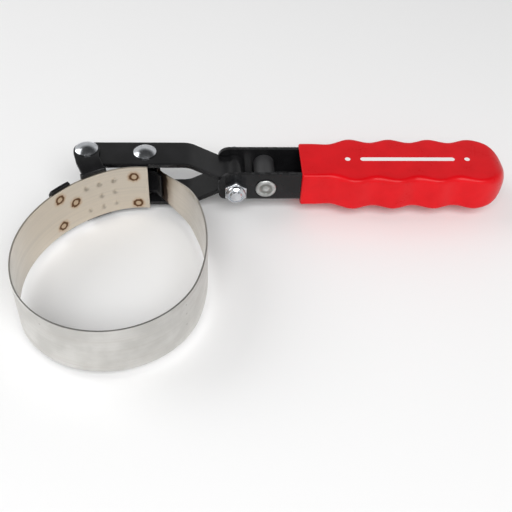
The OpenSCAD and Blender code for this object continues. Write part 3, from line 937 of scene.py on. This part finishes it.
ring_inner, ring_outer, ring_low = 2.95, collar_r - 1.25, nut_hex_h + 0.1
ring = lathe("nut_insert_visual", [
    (ring_inner, ring_low), (ring_outer, ring_low), (ring_outer, nut_h - 0.45),
    (ring_outer - 0.25, nut_h - 0.2), (3.2, nut_h - 0.2), (ring_inner, nut_h - 0.4),
    (ring_inner, ring_low)], (bolt_x, near_y, 0), "-Y", 56)
nylon, nylon_shader, nylon_tree, _, nylon_grain = new_material("white_nylon")
colour_and_gloss(
    nylon_tree, nylon_shader,
    mix(nylon_tree, nylon_grain["Blotches"], (0.62, 0.68, 0.74), (0.80, 0.84, 0.88)),
    calc(nylon_tree, "MULTIPLY_ADD", nylon_grain["Specks"], 0.2, 0.3))
surface_bump(nylon_tree, nylon_shader, nylon_grain["Specks"], 0.1, 0.05)
ring.data.materials.append(nylon)
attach(ring, "handle")
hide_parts("nut_insert")

# --------------------------------------
# Stop rivet and its tube: the steel rivet crosses the channel beyond the eye
# and limits the yoke. Its near end is hollow and rolled over, the far end is
# a round head, and a black tube keeps the walls apart.
stop_x = bolt_x + 14.5
inner_w = channel_w - 2 * channel_t
stop_head = [(h[0], -h[1]) for h in head_outline(6.0, 2.5, 0.5, 0)][::-1]
rolled = [(shank_r, 0.05)] + [(r, channel_w + rise) for r, rise in (
    (shank_r, -0.05), (4.7, 0), (5.0, 0.25), (4.95, 0.6), (4.6, 0.95), (4.0, 1.15), (3.4, 1.1),
    (2.9, 0.8), (2.55, 0.5), (2.0, 0.42), (1.5, 0.6), (1.0, 0.55), (0.5, 0.38), (0, 0.35))]
stop_rivet = lathe("stop_rivet_visual", stop_head + rolled, (stop_x, far_y, 0), "-Y", 56, 50)
dull, dull_shader, dull_tree, dull_place, dull_grain = new_material("dull_zinc_plating")
dull_shader.inputs["Metallic"].default_value = 1
dull_colour = mix(dull_tree, stretch(dull_tree, dull_grain["Waviness"], 0.3, 0.7),
                  (0.40, 0.41, 0.40), (0.60, 0.61, 0.60))
# Painted shade: a dark ring where the rolled rim drops into its dish
dull_colour = stain_and_shade(dull_tree, dull_place, dull_colour, (stop_x, near_y - 0.6, 0), 2.9,
                    ("Ring", 0.6, (0.12, 0.12, 0.10)))
colour_and_gloss(dull_tree, dull_shader, dull_colour,
                 calc(dull_tree, "MULTIPLY_ADD", dull_grain["Blotches"], 0.3, 0.22))
surface_bump(dull_tree, dull_shader, calc(dull_tree, "ADD", dull_grain["Waviness"],
                                          dull_grain["Specks"]), 0.3, 0.12)
stop_rivet.data.materials.append(dull)
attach(stop_rivet, "handle")
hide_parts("stop_rivet")

stop_tube_r = 5.1
stop_tube = tube("stop_spacer_visual", (stop_x, bolt_y, 0), stop_tube_r, shank_r, inner_w, "-Y")
satin, satin_shader, satin_tree, _, satin_grain = new_material("satin_black_oxide")
colour_and_gloss(
    satin_tree, satin_shader,
    mix(satin_tree, satin_grain["Blotches"], (0.030, 0.030, 0.031), (0.042, 0.042, 0.044)),
    calc(satin_tree, "MULTIPLY_ADD", satin_grain["Specks"], 0.15, 0.38))
surface_bump(satin_tree, satin_shader, satin_grain["Specks"], 0.08, 0.05)
stop_tube.data.materials.append(satin)
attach(stop_tube, "handle")
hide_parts("stop_spacer")

# --------------------------------------
# Grip: red vinyl dipped and moulded over the channel, with a plain collar,
# four finger swells on each side and a rounded end. A plain white bar between
# two dots is printed on top.
grip_start, grip_end, collar_w, grip_h = 31.5, 133.2, 25.5, 18.4
swell_w, hollow, swell_pitch, first_swell, last_swell = 33.4, 1.9, 20.0, 57.0, 117.0
collar_end, end_round = 44.0, 16.2
collar_edge, swell_edge, hollow_edge, edge_lead, edge_fade = 1.3, 0.6, 0.9, 6, 14


def half_width(x):
    """Half the grip's width at x millimetres beyond the bolt."""
    swell = swell_w / 2 - hollow / 2 + hollow / 2 * cos(2 * pi * (x - first_swell) / swell_pitch)
    ramp = (1 - cos(pi * (x - collar_end) / (first_swell - collar_end))) / 2
    if x < collar_end:
        return collar_w / 2
    if x < first_swell:
        return collar_w / 2 + (swell_w - collar_w) / 2 * ramp
    return swell if x < last_swell else swell_w / 2


def end_share(x, length=end_round, power=2.1):
    if x < grip_end - length:
        return 1.0
    return max(0.0, 1 - ((x - grip_end + length) / length) ** power) ** (1 / power)


def fillet(x):
    """Radius of the grip's long edges: tight on the collar, softer in the hollows."""
    wave = 0.5 - 0.5 * cos(2 * pi * (x - first_swell) / swell_pitch)
    onto_swells = min(1.0, max(0.0, (x - collar_end + edge_lead) / edge_fade))
    return collar_edge + onto_swells * (swell_edge + hollow_edge * wave * (x < last_swell))


side_points, edge_points, corner_points = 10, 20, 11
ring_points = 2 * (side_points + edge_points) + 4 * corner_points


def rounded(wide, high, corner):
    """A round-cornered rectangle of half sizes wide and high, as (y, z) points in turn."""
    corner = min(corner, 0.98 * wide, 0.98 * high)
    run_y, run_z = wide - corner, high - corner
    turns = [pi / 2 * k / (corner_points - 1) for k in range(corner_points)]
    arc = [(corner * cos(a), corner * sin(a)) for a in turns]
    top = [(run_y * (1 - 2 * (k + 1) / (edge_points + 1)), high) for k in range(edge_points)]
    left = [(-wide, run_z * (1 - 2 * (k + 1) / (side_points + 1))) for k in range(side_points)]
    points = [(run_y + y, run_z + z) for y, z in arc] + top
    points += [(-run_y - y, run_z + z) for y, z in arc[::-1]] + left
    points += [(-run_y - y, -run_z - z) for y, z in arc] + [(-y, -z) for y, z in top]
    points += [(run_y + y, -run_z - z) for y, z in arc[::-1]] + [(-y, -z) for y, z in left]
    return sorted(points, key=lambda p: atan2(p[1], p[0]) % (2 * pi))


lip, ring_gap, end_rings = 0.9, 1.15, 26
grip_xs = [grip_start + lip * (1 - cos(pi / 2 * k / 4)) for k in range(5)]
grip_xs += [grip_start + lip + k * ring_gap for k in range(1, 74)]
last_x = grip_xs[-1]
grip_xs += [last_x + (grip_end - 0.02 - last_x) * sin(pi / 2 * k / end_rings)
            for k in range(1, end_rings + 1)]
end_depth, end_depth_power, end_soften = 8.5, 2.2, 4.5


def section(x):
    """The grip's outline at x millimetres beyond the bolt."""
    wide = half_width(x) * end_share(x)
    high = grip_h / 2 * end_share(x, end_depth, end_depth_power)
    rim = lip * (1 - sqrt(max(0.0, 1 - max(0.0, 1 - (x - grip_start) / lip) ** 2)))
    soft_end = fillet(x) + end_soften * max(0.0, (x - grip_end + end_round) / end_round) ** 1.5
    return rounded(wide - rim, high - 0.5 * rim, soft_end)


deselect()
bpy.ops.mesh.primitive_circle_add(vertices=ring_points, radius=10 * mm,
                                  rotation=(pi / 2, 0, pi / 2))
grip = bpy.context.object
grip.name = grip.data.name = "grip_visual"
bpy.ops.object.transform_apply(location=True, rotation=True, scale=True)
bpy.ops.object.mode_set(mode="EDIT")
bpy.ops.mesh.select_mode(type="VERT")


def shape_ring(points, x):
    """Moves the selected ring to these (y, z) points at x beyond the bolt."""
    bm = bmesh.from_edit_mesh(grip.data)
    ring = [v for v in bm.verts if v.select]
    middle = sum((v.co for v in ring), Vector()) / len(ring)
    ring.sort(key=lambda v: atan2(v.co.z - middle.z, v.co.y - middle.y) % (2 * pi))
    for v, (y, z) in zip(ring, points):
        v.co = Vector((bolt_x + x, bolt_y + y, z)) * mm
    bmesh.update_edit_mesh(grip.data)


bpy.ops.mesh.select_all(action="SELECT")
shape_ring(section(grip_xs[0]), grip_xs[0])
for x in grip_xs[1:-1]:
    push((1, 0, 0))
    shape_ring(section(x), x)
push((0.2, 0, 0))
bpy.ops.mesh.merge(type="CENTER")
# The mouth turns in to the channel, and the bore runs along it
select_where(grip, lambda p, n: p.x < bolt_x + grip_start + 0.01)
mouth_w, mouth_h, mouth_deep = half_w + 0.05, half_h + 0.05, 90.0
push((-0.01, 0, 0))
shape_ring(rounded(mouth_w, mouth_h, 0.3), grip_start)
push((mouth_deep, 0, 0))
bpy.ops.mesh.edge_face_add()
tidy_up(grip)
finish_with(grip, smooth=40)

# A printed mark: a plain bar with a dot beyond each end
print_group, print_in, print_out = new_group(
    "printed_bar", [("Place", "NodeSocketVector", None), ("Middle", "NodeSocketVector", (0, 0, 0)),
                    ("Half length", "NodeSocketFloat", 0.02),
                    ("Half width", "NodeSocketFloat", 0.001)],
    [("Ink", "NodeSocketFloat")])
ink_xyz = split_xyz(print_group, vector_calc(print_group, "SUBTRACT", print_in["Place"],
                                             print_in["Middle"])[0])
ink_over = calc(print_group, "MAXIMUM", calc(print_group, "SUBTRACT", calc(
    print_group, "ABSOLUTE", ink_xyz["X"]), print_in["Half length"]), 0.0)
ink_away = calc(print_group, "SQRT", calc(
    print_group, "ADD", calc(print_group, "MULTIPLY", ink_over, ink_over),
    calc(print_group, "MULTIPLY", ink_xyz["Y"], ink_xyz["Y"])))
ink_gap = calc(print_group, "SUBTRACT", ink_away, print_in["Half width"])
print_group.links.new(
    calc(print_group, "MULTIPLY", stretch(print_group, ink_gap, -0.00008, 0.00008, 1.0, 0.0),
         stretch(print_group, ink_xyz["Z"], -0.0012, -0.0010)), print_out["Ink"])

vinyl, vinyl_shader, vinyl_tree, vinyl_place, vinyl_grain = new_material("red_vinyl")
vinyl_colour = mix(vinyl_tree, stretch(vinyl_tree, vinyl_grain["Blotches"], 0.3, 0.7),
                   (0.63, 0.002, 0.006), (0.70, 0.003, 0.008))
for bar_x, bar_half in ((84.0, 22.0), (54.5, 0.02), (113.5, 0.02)):
    ink = place_group(vinyl_tree, print_group, vinyl_place)
    ink.inputs["Middle"].default_value = Vector((bolt_x + bar_x, bolt_y, grip_h / 2)) * mm
    ink.inputs["Half length"].default_value = bar_half * mm
    ink.inputs["Half width"].default_value = 1.3 * mm
    vinyl_colour = mix(vinyl_tree, ink.outputs["Ink"], vinyl_colour, (0.85, 0.83, 0.82))
colour_and_gloss(vinyl_tree, vinyl_shader, vinyl_colour, calc(
    vinyl_tree, "MULTIPLY_ADD", vinyl_grain["Specks"], 0.10,
    calc(vinyl_tree, "MULTIPLY_ADD", vinyl_grain["Blotches"], 0.10, 0.20)))
vinyl_shader.inputs["Specular IOR Level"].default_value = 0.22
vinyl_height = calc(vinyl_tree, "ADD", vinyl_grain["Waviness"],
                    calc(vinyl_tree, "MULTIPLY", vinyl_grain["Specks"], 0.4))
surface_bump(vinyl_tree, vinyl_shader, vinyl_height, 0.10, 0.12)
grip.data.materials.append(vinyl)
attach(grip, "handle")
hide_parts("grip")
